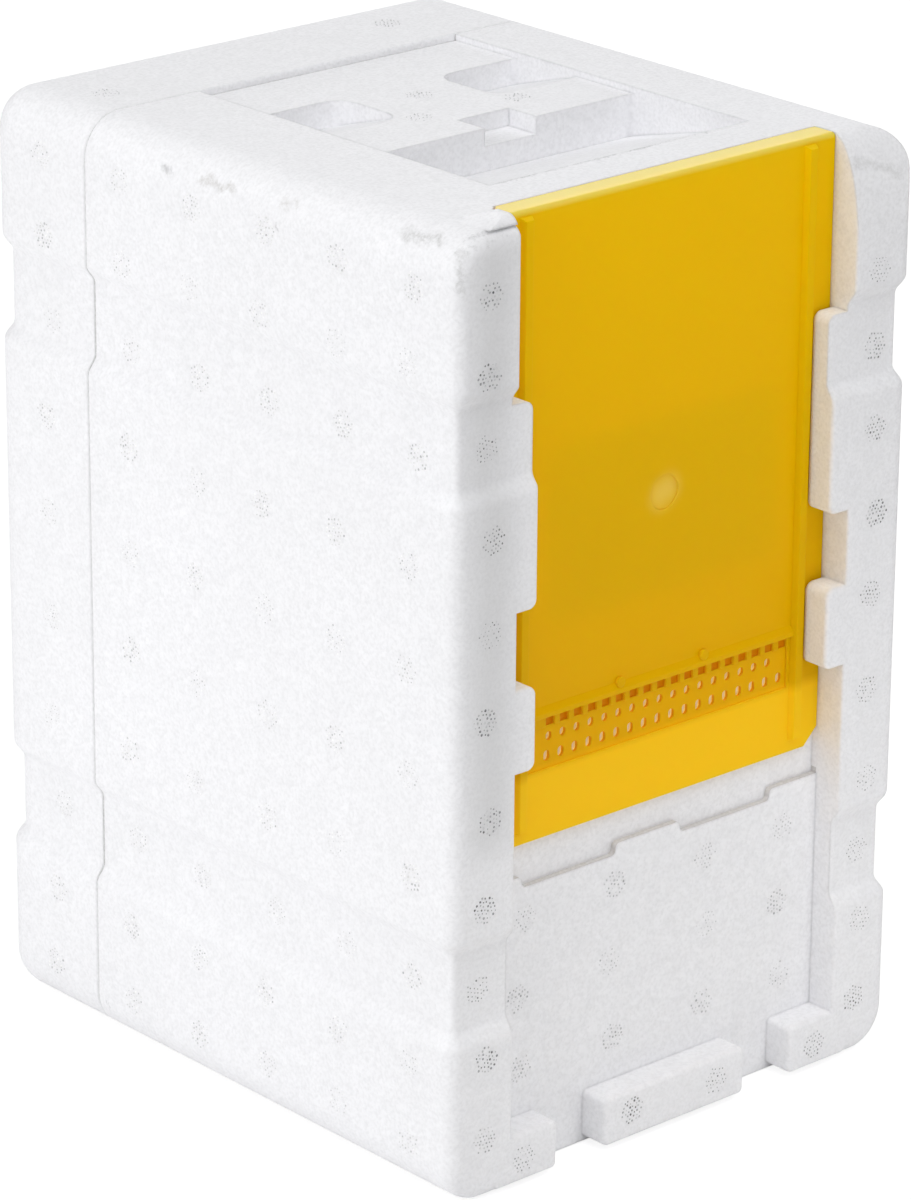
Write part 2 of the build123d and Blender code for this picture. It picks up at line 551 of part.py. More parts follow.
# Slotted excluder, standing in the guides behind the bee passage
with BuildPart() as feeder_excluder:
    with BuildSketch(Plane.XY.offset(EXCLUDER_Z - EXCLUDER_THICKNESS / 2)):
        with Locations((0, SHEET_Y)):
            Rectangle(EXCLUDER_WIDTH, EXCLUDER_HEIGHT, align=(Align.CENTER, Align.MAX))
        with Locations((0, SHEET_Y - PASSAGE_DEPTH / 2)):
            with GridLocations(EXCLUDER_PITCH, 0, int(PASSAGE_WIDTH / EXCLUDER_PITCH), 1):
                SlotOverall(PASSAGE_DEPTH - EXCLUDER_SLOT, EXCLUDER_SLOT, rotation=90, mode=Mode.SUBTRACT)
    extrude(amount=EXCLUDER_THICKNESS)
save(feeder_excluder, "feeder_excluder")

# Frames: each hangs by its top bar, whose wide ends space it from the next
for number in range(1, FRAME_COUNT + 1):
    frame_z = FRAME_START + FRAME_PITCH * (number - 0.5)
    top_bar_length = LEDGE_SPAN - 2 * TOP_BAR_CLEARANCE

    with BuildPart() as top_bar:
        with BuildSketch(layer(SHEET_Y)):
            with Locations((0, frame_z)):
                Rectangle(top_bar_length, TOP_BAR_WIDTH)
            for side in SIDES:
                with Locations((side * (top_bar_length - SHOULDER_LENGTH) / 2, frame_z)):
                    Rectangle(SHOULDER_LENGTH, FRAME_PITCH - FRAME_GAP)
        extrude(amount=SHEET_Y - LEDGE_Y)
        with BuildSketch(layer(LEDGE_Y + GROOVE_DEPTH)):
            with Locations((0, frame_z)):
                Rectangle(FRAME_WINDOW, WAX_THICKNESS + 2 * GROOVE_CLEARANCE)
        extrude(amount=GROOVE_DEPTH, mode=Mode.SUBTRACT)
    save(top_bar, f"top_bar_{number}")

    for side, side_name in zip(SIDES, ("left", "right")):
        with BuildPart() as end_bar:
            with BuildSketch(layer(LEDGE_Y)):
                with Locations((side * (FRAME_WIDTH - END_BAR_THICKNESS) / 2, frame_z)):
                    Rectangle(END_BAR_THICKNESS, TOP_BAR_WIDTH)
            extrude(amount=LEDGE_Y - BOTTOM_BAR_Y - BOTTOM_BAR_THICKNESS)
        save(end_bar, f"{side_name}_end_bar_{number}")

    with BuildPart() as bottom_bar:
        with BuildSketch(layer(BOTTOM_BAR_Y + BOTTOM_BAR_THICKNESS)):
            with Locations((0, frame_z)):
                Rectangle(FRAME_WIDTH, BOTTOM_BAR_WIDTH)
        extrude(amount=BOTTOM_BAR_THICKNESS)
    save(bottom_bar, f"bottom_bar_{number}")

    with BuildPart() as wax_strip:
        with BuildSketch(layer(LEDGE_Y + GROOVE_DEPTH)):
            with Locations((0, frame_z)):
                Rectangle(FRAME_WINDOW - 2 * WAX_SIDE_GAP, WAX_THICKNESS)
        extrude(amount=GROOVE_DEPTH + WAX_DROP)
    save(wax_strip, f"wax_strip_{number}")
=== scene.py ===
# %% [markdown]
# A small mating hive of white foam, standing on its rear end.
#
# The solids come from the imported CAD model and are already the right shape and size, so this lesson
# is about what Blender adds: a camera, a studio, the finish of every surface, and the small marks
# that the foam mould leaves. Blender works in metres, in the frame of the CAD model: X across the
# hive, Y from the floor rails to the lid, Z from the rear end up to the entrance end. Lengths on
# the hive are written in millimetres, as a maker measures them, and MM turns them into metres.

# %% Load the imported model
import math
import random

import bpy
from mathutils import Euler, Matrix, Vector
from mathutils.bvhtree import BVHTree


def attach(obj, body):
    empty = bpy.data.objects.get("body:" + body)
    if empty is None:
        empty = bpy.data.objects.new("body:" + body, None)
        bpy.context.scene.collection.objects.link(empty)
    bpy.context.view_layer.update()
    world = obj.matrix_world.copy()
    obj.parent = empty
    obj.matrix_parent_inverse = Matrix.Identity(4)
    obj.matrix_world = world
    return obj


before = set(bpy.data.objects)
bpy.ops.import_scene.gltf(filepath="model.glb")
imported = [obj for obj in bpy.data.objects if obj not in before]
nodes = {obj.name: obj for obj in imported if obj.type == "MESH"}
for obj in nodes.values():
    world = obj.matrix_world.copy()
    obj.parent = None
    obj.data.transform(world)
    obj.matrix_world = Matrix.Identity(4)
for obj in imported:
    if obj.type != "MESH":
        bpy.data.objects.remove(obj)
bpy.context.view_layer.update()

MM = 0.001

# %% [markdown]
# Three helpers serve every material. Colours are written as sRGB hex, the way a paint chip or a web
# page gives them, but shaders work in linear light, so one function converts. Another adds a node,
# sets it up and links it, which keeps each material to a few readable lines. The third starts a
# material with the Principled shader that Blender puts in it.


# %% Colour and node helpers
def linear(hex_colour):
    """Linear RGBA of an sRGB hex colour such as F4C20D."""
    channels = [int(hex_colour[i:i + 2], 16) / 255 for i in (0, 2, 4)]
    straight = [c / 12.92 if c <= 0.04045 else ((c + 0.055) / 1.055) ** 2.4 for c in channels]
    return (*straight, 1)


def add_node(tree, kind, sockets=(), **settings):
    """Add a node; sockets maps an input to a value, or to the output that feeds it."""
    made = tree.nodes.new(kind)
    for name, value in settings.items():
        setattr(made, name, value)
    for socket, value in dict(sockets).items():
        if isinstance(value, bpy.types.NodeSocket):
            tree.links.new(value, made.inputs[socket])
        else:
            made.inputs[socket].default_value = value
    return made


def blank_material(name):
    """A new material with its node tree and its Principled shader."""
    material = bpy.data.materials.new(name)
    material.use_nodes = True
    return material, material.node_tree, material.node_tree.nodes["Principled BSDF"]


print("hex 808080 is", round(linear("808080")[0], 3), "in linear light")

# %% [markdown]
# The camera looks at the hive from the left and a little above, through a long lens: the edges that
# run back from us hardly converge. An aim point, two angles and a distance say that in plain
# numbers. The picture is upright, so the sensor is fitted to its height.

# %% Camera
VIEW_AZIMUTH = math.radians(-41.786)
VIEW_ELEVATION = math.radians(20.725)
VIEW_ROLL = math.radians(0.42)
VIEW_DISTANCE = 1401.8 * MM
AIM_POINT = Vector((0.7, -4.6, 115.7)) * MM
SENSOR_HEIGHT = 36.0
FOCAL_LENGTH = 165.96

camera_data = bpy.data.cameras.new("camera")
camera_data.sensor_fit = "VERTICAL"
camera_data.sensor_height = SENSOR_HEIGHT
camera_data.lens = FOCAL_LENGTH
camera = bpy.data.objects.new("camera", camera_data)
bpy.context.scene.collection.objects.link(camera)
turn = Euler((math.pi / 2 - VIEW_ELEVATION, 0, VIEW_AZIMUTH)).to_matrix()
camera.location = AIM_POINT + turn @ Vector((0, 0, VIEW_DISTANCE))
camera.rotation_euler = (turn @ Euler((0, 0, VIEW_ROLL)).to_matrix()).to_euler()
bpy.context.scene.camera = camera
print("camera at", [round(c, 3) for c in camera.location])

# %% [markdown]
# The hive stands on white paper under an even sky. Light Path tells the rays that we look along
# from the rays that only carry light, so the paper can be shown to the eye as nearly white, in
# reflections and through clear plastic too, without any more light falling on the hive. It still
# darkens a little where the hive shades it. It lies a hair below the rear end, because the foam
# there has raised pips.

# %% Sky and floor
SKY_FILL = 0.3
FLOOR_SIZE = 8.0
FLOOR_DROP = 0.4
FLOOR_SHADE = 0.30
FLOOR_GLOW = 0.83

bpy.context.scene.view_settings.view_transform = "Standard"


def seen_by_eye(tree):
    """1 for rays from the camera, also off a gloss or through clear plastic; 0 for other rays."""
    path = add_node(tree, "ShaderNodeLightPath").outputs
    direct = add_node(tree, "ShaderNodeMath", {
        0: path["Is Camera Ray"], 1: path["Is Transmission Ray"]}, operation="MAXIMUM")
    return add_node(tree, "ShaderNodeMath", {
        0: direct.outputs[0], 1: path["Is Glossy Ray"]}, operation="MAXIMUM").outputs[0]


world = bpy.data.worlds.new("studio_sky")
bpy.context.scene.world = world
world.use_nodes = True
sky = world.node_tree.nodes["Background"]
sky.inputs["Color"].default_value = linear("FFFFFF")
sky_level = add_node(world.node_tree, "ShaderNodeMapRange", {
    "Value": seen_by_eye(world.node_tree), "To Min": SKY_FILL, "To Max": 1.0})
world.node_tree.links.new(sky_level.outputs[0], sky.inputs["Strength"])

floor_material, tree, unused_shader = blank_material("pale_paper_floor")
tree.nodes.remove(unused_shader)
paper = add_node(tree, "ShaderNodeBsdfDiffuse", {"Color": linear("F4F4F4")})
shade = add_node(tree, "ShaderNodeBsdfDiffuse", {"Color": (FLOOR_SHADE,) * 3 + (1,)})
glow = add_node(tree, "ShaderNodeEmission", {"Color": linear("FFFFFF"), "Strength": FLOOR_GLOW})
shown = add_node(tree, "ShaderNodeAddShader", {0: shade.outputs[0], 1: glow.outputs[0]})
floor_mix = add_node(tree, "ShaderNodeMixShader", {
    0: seen_by_eye(tree), 1: paper.outputs[0], 2: shown.outputs[0]})
tree.links.new(floor_mix.outputs[0], tree.nodes["Material Output"].inputs["Surface"])

half = FLOOR_SIZE / 2
edges = ((-half, -half), (half, -half), (half, half), (-half, half))
floor_mesh = bpy.data.meshes.new("floor")
floor_mesh.from_pydata([(x, y, -FLOOR_DROP * MM) for x, y in edges], [], [(0, 1, 2, 3)])
floor_mesh.materials.append(floor_material)
floor = bpy.data.objects.new("floor", floor_mesh)
bpy.context.scene.collection.objects.link(floor)
print("paper floor", FLOOR_SIZE, "m across")

# %% [markdown]
# White foam on white paper needs light with a direction, or every face comes out the same. A large
# softbox on the left, with a smaller one at the corner, makes that side the brightest and reaches
# into the porch. Two more, above and in front, light the entrance end and the floor side. One
# behind serves the lid and the far side, and two low reflectors lift the feet. A row of the table
# gives a lamp's place and size in metres and its power in watts, and every lamp is turned towards
# the hive.

# %% Lamps
LAMPS = {
    "left_softbox": ((-1.6, 0.5, 0.75), 1.2, 6.5),
    "corner_softbox": ((-1.2, -0.2, 0.75), 0.6, 3.4),
    "top_softbox": ((-0.2, 0.3, 1.9), 1.6, 3.2),
    "front_softbox": ((-0.1, -0.9, 1.7), 1.4, 13.9),
    "back_softbox": ((1.3, 1.2, 0.5), 1.0, 9.0),
    "left_reflector": ((-0.38, 0.05, 0.05), 0.2, 0.155),
    "front_reflector": ((0.05, -0.24, 0.03), 0.12, 0.05),
}

for name, (place, size, watts) in LAMPS.items():
    lamp = bpy.data.lights.new(name, "AREA")
    lamp.size = size
    lamp.energy = watts
    box = bpy.data.objects.new(name, lamp)
    box.location = place
    box.rotation_euler = (AIM_POINT - Vector(place)).to_track_quat("-Z", "Y").to_euler()
    box.visible_camera = False
    bpy.context.scene.collection.objects.link(box)
print("lit by", ", ".join(LAMPS))

# %% [markdown]
# Handling has scuffed the edges of the foam and creased the rail ends. A painted mask would need an
# unwrapped mesh, so each mark is a line instead: from one place to another, with a reach and a
# grey. Some lines are painted shade, not wear: the dark creases of the left rail, the shadow just
# behind the sill and a broad grey down the left rail. The function gives a material the nearness
# to such a line, worked out from the solid's own coordinates. The same function makes the pale
# spot where melt enters a plastic moulding, which is a painted highlight.

# %% Marks along a line
MARK_STRENGTH = 0.45
# Painted shade: a smooth grey darkens the upper part of the left rail, towards the entrance end.
LEFT_RAIL_PAINTED_SHADE = ((-63, -89, 98), (-63, -88.5, 236), 13, "CACACA")
WEAR_AND_SHADE = {
    "scuff on the entrance corner": ((-72, -68, 241.6), (-71.4, -78, 242.2), 3.0, "8C8C86"),
    "specks down the left rail": ((-71.5, -86.5, 242.5), (-73.6, -88.2, 233), 1.8, "9A9A96"),
    # Painted shade: the two crease lines on the left rail's end are drawn dark, as the shade in them.
    "painted shade in the upper crease of the left rail": ((-69, -86, 244), (-58, -86.6, 244.2), 1.3, "8E8E8E"),
    "painted shade in the lower crease of the left rail": ((-69, -87.6, 242), (-60, -87.8, 242.4), 1.2, "969696"),
    "fold of the right rail": ((57, -85.3, 238.6), (71, -87, 233.5), 2.2, "BEBEBC"),
    "nick in the upper edge": ((-74.2, 18, 238.4), (-74.2, 15, 237.6), 1.9, "6C6C6C"),
    "scuff on the upper edge": ((-73.8, 4, 238.6), (-73.6, -7, 239.2), 1.9, "9C968C"),
    "scuff nearer the corner": ((-73.2, -26, 239.6), (-73.2, -30, 240.2), 2.0, "B4B0AA"),
    "speck on the side": ((-75, -25.6, 234.2), (-75, -26, 233.4), 1.0, "6E6E6E"),
    "speck by the lid": ((-75, 44.2, 8.7), (-75, 43.8, 8.3), 0.8, "606060"),
    # Painted shadow: the dark line just behind the sill's edge, where the sill hides the porch floor.
    "painted shadow along the sill": ((-37, -59.8, 245), (12, -59.8, 245), 1.1, "5A5A58"),
    "end of the painted shadow along the sill": ((12, -59.8, 245), (32, -59.8, 245), 0.8, "8A8A88"),
}


def near_line(tree, place, start, end, reach):
    """Share of a mark's colour: most on the line from start to end, none beyond reach, in mm."""
    start = Vector(start) * MM
    along = Vector(end) * MM - start
    offset = add_node(tree, "ShaderNodeVectorMath", {0: place, 1: start}, operation="SUBTRACT")
    share = add_node(tree, "ShaderNodeVectorMath", {
        0: offset.outputs[0], 1: along / along.length_squared}, operation="DOT_PRODUCT")
    within = add_node(tree, "ShaderNodeClamp", {"Value": share.outputs["Value"]})
    foot = add_node(tree, "ShaderNodeVectorMath", {
        0: along, "Scale": within.outputs[0]}, operation="SCALE")
    away = add_node(tree, "ShaderNodeVectorMath", {
        0: offset.outputs[0], 1: foot.outputs[0]}, operation="DISTANCE")
    return add_node(tree, "ShaderNodeMapRange", {
        "Value": away.outputs["Value"], "From Max": reach * MM,
        "To Min": MARK_STRENGTH, "To Max": 0.0}, interpolation_type="SMOOTHSTEP").outputs[0]


# Four of these places are painted shade, not wear: the two creases and the two lines along the sill.
print(len(WEAR_AND_SHADE), "worn places on the foam")

# %% [markdown]
# Body and lid are expanded polystyrene. Beads of 2 to 3 mm are blown up with steam in a metal mould
# until they fuse, so the skin is smooth, matt and very white, and the beads only just show: a cell
# pattern gives each its own shade, one or two steps from its neighbours, and a finer noise gives
# the grain of the skin. The patterns are read from the solid's own coordinates, so they run round
# the edges without a break. Foam edges are never sharp, and the Bevel node rounds them in the
# light.
#
# Dirt and painted shade come last. A noise bends each line, of wear and of painted shade alike,
# into a smear and speckles it, and dust lies in the seam of the lid. The step that stops the slide
# is drawn a speckled grey, and painted shade darkens the upper part of the left rail.

# %% Foam
DRIFT = 45.0
BEAD = 2.6
BEAD_SHADE = 0.35
BEAD_DEPTH = 0.02
GRAIN = 0.9
GRAIN_SHADE = 0.5
GRAIN_DEPTH = 0.06
SPECK = 0.8
SPECK_LEAST = 0.2
SMEAR = 3.5
WOBBLE = 7.0
SEAM = 47.7
SEAM_WIDTH = 0.2
STOP_EDGE = {"X": (0.0, 55.3), "Y": (-79.75, 0.85), "Z": (76.0, 3.0)}
STOP_EDGE_GREY = (0.35, 0.9)
FOAM_EDGE = 1.0
FOAM_ROUGHNESS = 0.8
FOAM_GLOW_DEPTH = 2.5


def moulded_polystyrene(name):
    """Steam-moulded polystyrene foam: matt white, faint beads, a dusty seam, wear and painted shade.
    """
    material, tree, shader = blank_material(name)
    place = add_node(tree, "ShaderNodeTexCoord").outputs["Object"]
    drift = add_node(tree, "ShaderNodeTexNoise", {
        "Vector": place, "Scale": 1 / (DRIFT * MM), "Detail": 2.0})
    colour = add_node(tree, "ShaderNodeMix", {
        "Factor": drift.outputs["Fac"], "A": linear("FAFAFD"), "B": linear("F4F4F6")},
        data_type="RGBA").outputs["Result"]
    beads = add_node(tree, "ShaderNodeTexVoronoi", {"Vector": place, "Scale": 1 / (BEAD * MM)})
    bead_shade = add_node(tree, "ShaderNodeMapRange", {
        "Value": beads.outputs["Color"], "To Max": BEAD_SHADE})
    colour = add_node(tree, "ShaderNodeMix", {
        "Factor": bead_shade.outputs[0], "A": colour, "B": linear("EAEAEC")},
        data_type="RGBA").outputs["Result"]
    grain = add_node(tree, "ShaderNodeTexNoise", {
        "Vector": place, "Scale": 1 / (GRAIN * MM), "Detail": 3.0})
    grain_shade = add_node(tree, "ShaderNodeMapRange", {
        "Value": grain.outputs["Fac"], "From Min": 0.4, "From Max": 0.7, "To Max": GRAIN_SHADE})
    colour = add_node(tree, "ShaderNodeMix", {
        "Factor": grain_shade.outputs[0], "A": colour, "B": linear("E2E2E4")},
        data_type="RGBA").outputs["Result"]

    specks = add_node(tree, "ShaderNodeTexNoise", {
        "Vector": place, "Scale": 1 / (SPECK * MM), "Detail": 3.0, "Roughness": 0.7})
    speck_mask = add_node(tree, "ShaderNodeMapRange", {
        "Value": specks.outputs["Fac"], "From Min": 0.3, "From Max": 0.7,
        "To Min": SPECK_LEAST}).outputs[0]
    smear = add_node(tree, "ShaderNodeTexNoise", {
        "Vector": place, "Scale": 1 / (SMEAR * MM), "Detail": 4.0, "Roughness": 0.7})
    wander = add_node(tree, "ShaderNodeVectorMath", {
        0: smear.outputs["Color"], 1: (WOBBLE * MM,) * 3, 2: place}, operation="MULTIPLY_ADD")
    bent_place = add_node(tree, "ShaderNodeVectorMath", {
        0: wander.outputs[0], 1: (WOBBLE / 2 * MM,) * 3}, operation="SUBTRACT").outputs[0]
    # These lines are wear, except the creases of the left rail and the line behind the sill, which
    # are painted shade.
    for start, end, reach, grey in WEAR_AND_SHADE.values():
        near = near_line(tree, bent_place, start, end, reach)
        worn_and_shaded = add_node(tree, "ShaderNodeMath", {0: near, 1: speck_mask}, operation="MULTIPLY")
        colour = add_node(tree, "ShaderNodeMix", {
            "Factor": worn_and_shaded.outputs[0], "A": colour, "B": linear(grey)},
            data_type="RGBA").outputs["Result"]

    axes = add_node(tree, "ShaderNodeSeparateXYZ", {0: place}).outputs
    in_seam = add_node(tree, "ShaderNodeMath", {
        0: axes["Y"], 1: SEAM * MM, 2: SEAM_WIDTH * MM}, operation="COMPARE")
    dust = add_node(tree, "ShaderNodeMath", {
        0: in_seam.outputs[0], 1: speck_mask}, operation="MULTIPLY")
    colour = add_node(tree, "ShaderNodeMix", {
        "Factor": dust.outputs[0], "A": colour, "B": linear("C0C0BE")},
        data_type="RGBA").outputs["Result"]
    # The step that stops the slide is drawn a speckled grey.
    soiled = add_node(tree, "ShaderNodeMapRange", {
        "Value": speck_mask, "To Min": STOP_EDGE_GREY[0], "To Max": STOP_EDGE_GREY[1]})
    for axis, (middle, reach) in STOP_EDGE.items():
        there = add_node(tree, "ShaderNodeMath", {
            0: axes[axis], 1: middle * MM, 2: reach * MM}, operation="COMPARE")
        soiled = add_node(tree, "ShaderNodeMath", {
            0: soiled.outputs[0], 1: there.outputs[0]}, operation="MULTIPLY")
    colour = add_node(tree, "ShaderNodeMix", {
        "Factor": soiled.outputs[0], "A": colour, "B": linear("C4C2C0")},
        data_type="RGBA").outputs["Result"]
    # Painted shade: the smooth grey on the upper part of the left rail.
    *shade_line, shade_grey = LEFT_RAIL_PAINTED_SHADE
    colour = add_node(tree, "ShaderNodeMix", {
        "Factor": near_line(tree, place, *shade_line), "A": colour, "B": linear(shade_grey)},
        data_type="RGBA").outputs["Result"]
    tree.links.new(colour, shader.inputs["Base Color"])

    rounded = add_node(tree, "ShaderNodeBevel", {"Radius": FOAM_EDGE * MM}, samples=4)
    fine = add_node(tree, "ShaderNodeBump", {
        "Height": grain.outputs["Fac"], "Distance": GRAIN_DEPTH * MM, "Normal": rounded.outputs[0]})
    bump = add_node(tree, "ShaderNodeBump", {
        "Height": beads.outputs["Distance"], "Distance": BEAD_DEPTH * MM,
        "Normal": fine.outputs[0]}, invert=True)
    tree.links.new(bump.outputs[0], shader.inputs["Normal"])
    shader.inputs["Roughness"].default_value = FOAM_ROUGHNESS
    shader.inputs["IOR"].default_value = 1.3
    shader.inputs["Specular IOR Level"].default_value = 0.3
    shader.inputs["Subsurface Weight"].default_value = 0.2
    shader.inputs["Subsurface Radius"].default_value = (1.0, 1.0, 1.0)
    shader.inputs["Subsurface Scale"].default_value = FOAM_GLOW_DEPTH * MM
    return material


foam = moulded_polystyrene("steam_moulded_polystyrene_foam")
print("foam with beads of", BEAD, "mm")

# %% [markdown]
# The floor slide, the feeder tub and its excluder are injection-moulded polypropylene: a strong
# colour right through, a satin skin copied from the mould, and a waxy glow, because light goes a
# millimetre or two into it before it comes back. Subsurface scattering gives that glow. The slide
# is thin, and a translucent share lets light through it to the foam behind, which makes its vent
# holes shine. The satin is finer than a pixel, so its grain is drawn half a millimetre wide, to
# show at all.
#
# The moulding is not even: the yellow is deeper where the melt arrived last. The other tints are
# painted light: painted shade deepens the yellow in the walls of the pockets and holes, a painted
# glow makes the thin strip below the grille and the top of the lip paler, and a painted highlight
# makes the gate, where the melt came in, palest. A table gives each place its colour.

# %% Polypropylene
FLOW_LENGTH = 60.0
SATIN_GRAIN = 0.5
SATIN_DEPTH = 0.012
SATIN_ROUGHNESS = (0.34, 0.44)
PLASTIC_EDGE = 0.35
PLASTIC_GLOW_DEPTH = 2.5
SLIDE_TINTS = (
    ("Z", 245.0, 110.0, "DCB600", 1.0),
    # Painted light: the thin strip below the grille is drawn paler, as the glow of the foam through
    # it.
    ("Z", 105.0, 102.0, "FFD61C", 1.0),
    # Painted shade: the walls of the pockets and holes are drawn deep orange.
    ("Y", -79.95, -79.75, "C87C00", 0.85),
    # Painted light: the top of the lip is drawn pale, as the glow of a thin lip lying on white foam.
    ("Z", 243.6, 244.7, "F0E064", 1.0),
)
# Painted highlight: a pale spot on the gate mark.
SLIDE_GATE_HIGHLIGHT = ((-1, -80.5, 165), (1, -80.5, 166), 6.5)
SLIDE_THROUGH = (0.2, 1.0)
FEEDER_TINTS = (("Y", 43.0, -60.0, "F0B404", 1.0),)
FEEDER_GATE_HIGHLIGHT = ((-1, -60.5, 50), (1, -60.5, 50), 5.0)


def moulded_polypropylene(name, deep, pale, tints, gate_highlight, through=None):
    """Injection-moulded polypropylene: satin, waxy, with a slow drift of tone along the flow.

    Each tint, (axis, start, end, colour, share), fades in from start to end along one axis.
    The gate highlight is a line and a reach for near_line, for a pale spot at the gate that is a
    painted highlight. The two shares of light let through are for most faces and for the faces
    towards the lid.
    """
    material, tree, shader = blank_material(name)
    place = add_node(tree, "ShaderNodeTexCoord").outputs["Object"]
    axes = add_node(tree, "ShaderNodeSeparateXYZ", {0: place}).outputs
    flow = add_node(tree, "ShaderNodeTexNoise", {
        "Vector": place, "Scale": 1 / (FLOW_LENGTH * MM), "Detail": 2.0, "Distortion": 0.6})
    colour = add_node(tree, "ShaderNodeMix", {
        "Factor": flow.outputs["Fac"], "A": linear(deep), "B": linear(pale)},
        data_type="RGBA").outputs["Result"]
    for axis, start, end, tint, share in tints:
        there = add_node(tree, "ShaderNodeMapRange", {
            "Value": axes[axis], "From Min": start * MM, "From Max": end * MM, "To Max": share})
        colour = add_node(tree, "ShaderNodeMix", {
            "Factor": there.outputs[0], "A": colour, "B": linear(tint)},
            data_type="RGBA").outputs["Result"]
    # Painted highlight: the pale spot at the gate.
    colour = add_node(tree, "ShaderNodeMix", {
        "Factor": near_line(tree, place, *gate_highlight), "A": colour, "B": linear("FFEC80")},
        data_type="RGBA").outputs["Result"]
    tree.links.new(colour, shader.inputs["Base Color"])

    gloss = add_node(tree, "ShaderNodeMapRange", {
        "Value": flow.outputs["Fac"], "To Min": SATIN_ROUGHNESS[0], "To Max": SATIN_ROUGHNESS[1]})
    tree.links.new(gloss.outputs[0], shader.inputs["Roughness"])
    satin = add_node(tree, "ShaderNodeTexNoise", {
        "Vector": place, "Scale": 1 / (SATIN_GRAIN * MM), "Detail": 2.0})
    rounded = add_node(tree, "ShaderNodeBevel", {"Radius": PLASTIC_EDGE * MM}, samples=4)
    bump = add_node(tree, "ShaderNodeBump", {
        "Height": satin.outputs["Fac"], "Distance": SATIN_DEPTH * MM, "Normal": rounded.outputs[0]})
    tree.links.new(bump.outputs[0], shader.inputs["Normal"])
    shader.inputs["IOR"].default_value = 1.49
    shader.inputs["Specular IOR Level"].default_value = 0.15
    shader.inputs["Specular Tint"].default_value = linear("FFD800")
    shader.inputs["Subsurface Weight"].default_value = 0.4
    shader.inputs["Subsurface Radius"].default_value = (1.0, 0.6, 0.1)
    shader.inputs["Subsurface Scale"].default_value = PLASTIC_GLOW_DEPTH * MM
    if through:
        normal = add_node(tree, "ShaderNodeNewGeometry").outputs["True Normal"]
        facing = add_node(tree, "ShaderNodeSeparateXYZ", {0: normal})
        share = add_node(tree, "ShaderNodeMapRange", {
            "Value": facing.outputs["Y"], "From Min": 0.5,
            "To Min": through[0], "To Max": through[1]})
        passing = add_node(tree, "ShaderNodeBsdfTranslucent", {"Color": linear("FFE070")})
        both = add_node(tree, "ShaderNodeMixShader", {
            0: share.outputs[0], 1: shader.outputs[0], 2: passing.outputs[0]})
        tree.links.new(both.outputs[0], tree.nodes["Material Output"].inputs["Surface"])
    return material


slide_plastic = moulded_polypropylene("satin_polypropylene_slide", "F2CE00", "F4D600",
                                      SLIDE_TINTS, SLIDE_GATE_HIGHLIGHT, SLIDE_THROUGH)
feeder_plastic = moulded_polypropylene("satin_polypropylene_feeder", "F5BC04", "FAC60A",
                                       FEEDER_TINTS, FEEDER_GATE_HIGHLIGHT)
print("polypropylene for the slide, with", len(SLIDE_TINTS), "tints, and for the feeder")

# %% [markdown]
# The inner cover is a clear sheet of rigid plastic, cut from a roll: glossy, nearly colourless,
# with fine scratches from bees and hive tools that only show in the gloss. It is a thin solid, so a
# transmissive shader with the plastic's own refraction does the work. Real scratches are as thin as
# a hair, and these are drawn half a millimetre wide so that they show.

# %% Clear sheet
SCRATCH_WIDTH = 0.5
SCRATCH_LENGTH = 30.0
SCRATCH_TURN = 0.5
SCRATCH_ROUGHNESS = (0.04, 0.22)


def clear_sheet_plastic(name):
    """Rigid clear sheet with fine rubbed streaks."""
    material, tree, shader = blank_material(name)
    place = add_node(tree, "ShaderNodeTexCoord").outputs["Object"]
    stretch = add_node(tree, "ShaderNodeMapping", {
        "Vector": place, "Rotation": (0, SCRATCH_TURN, 0),
        "Scale": (1 / (SCRATCH_WIDTH * MM), 1, 1 / (SCRATCH_LENGTH * MM))})
    streaks = add_node(tree, "ShaderNodeTexNoise", {
        "Vector": stretch.outputs[0], "Scale": 1.0, "Detail": 3.0})
    gloss = add_node(tree, "ShaderNodeMapRange", {
        "Value": streaks.outputs["Fac"], "From Min": 0.45, "From Max": 0.75,
        "To Min": SCRATCH_ROUGHNESS[0], "To Max": SCRATCH_ROUGHNESS[1]})
    tree.links.new(gloss.outputs[0], shader.inputs["Roughness"])
    shader.inputs["Base Color"].default_value = linear("F3F8F8")
    shader.inputs["IOR"].default_value = 1.54
    shader.inputs["Transmission Weight"].default_value = 1.0
    return material


clear_sheet = clear_sheet_plastic("clear_rigid_sheet")
print("clear sheet with scratches", SCRATCH_WIDTH, "mm wide")

# %% [markdown]
# The frames are planed softwood, as frame bars are: pale, with darker growth lines that run along
# each bar. A wood texture needs the direction of the grain, and bars run two ways here, so the
# function stretches its pattern along the axis it is given. Each bar is cut from another place in
# the plank, which a random number for each object stands for. The fibres are too thin to see, and
# are drawn coarser than they are.

# %% Planed softwood
GRAIN_SPACING = 3.2
GRAIN_STRETCH = 18.0
FIBRE_WIDTH = 0.35
FIBRE_DEPTH = 0.05


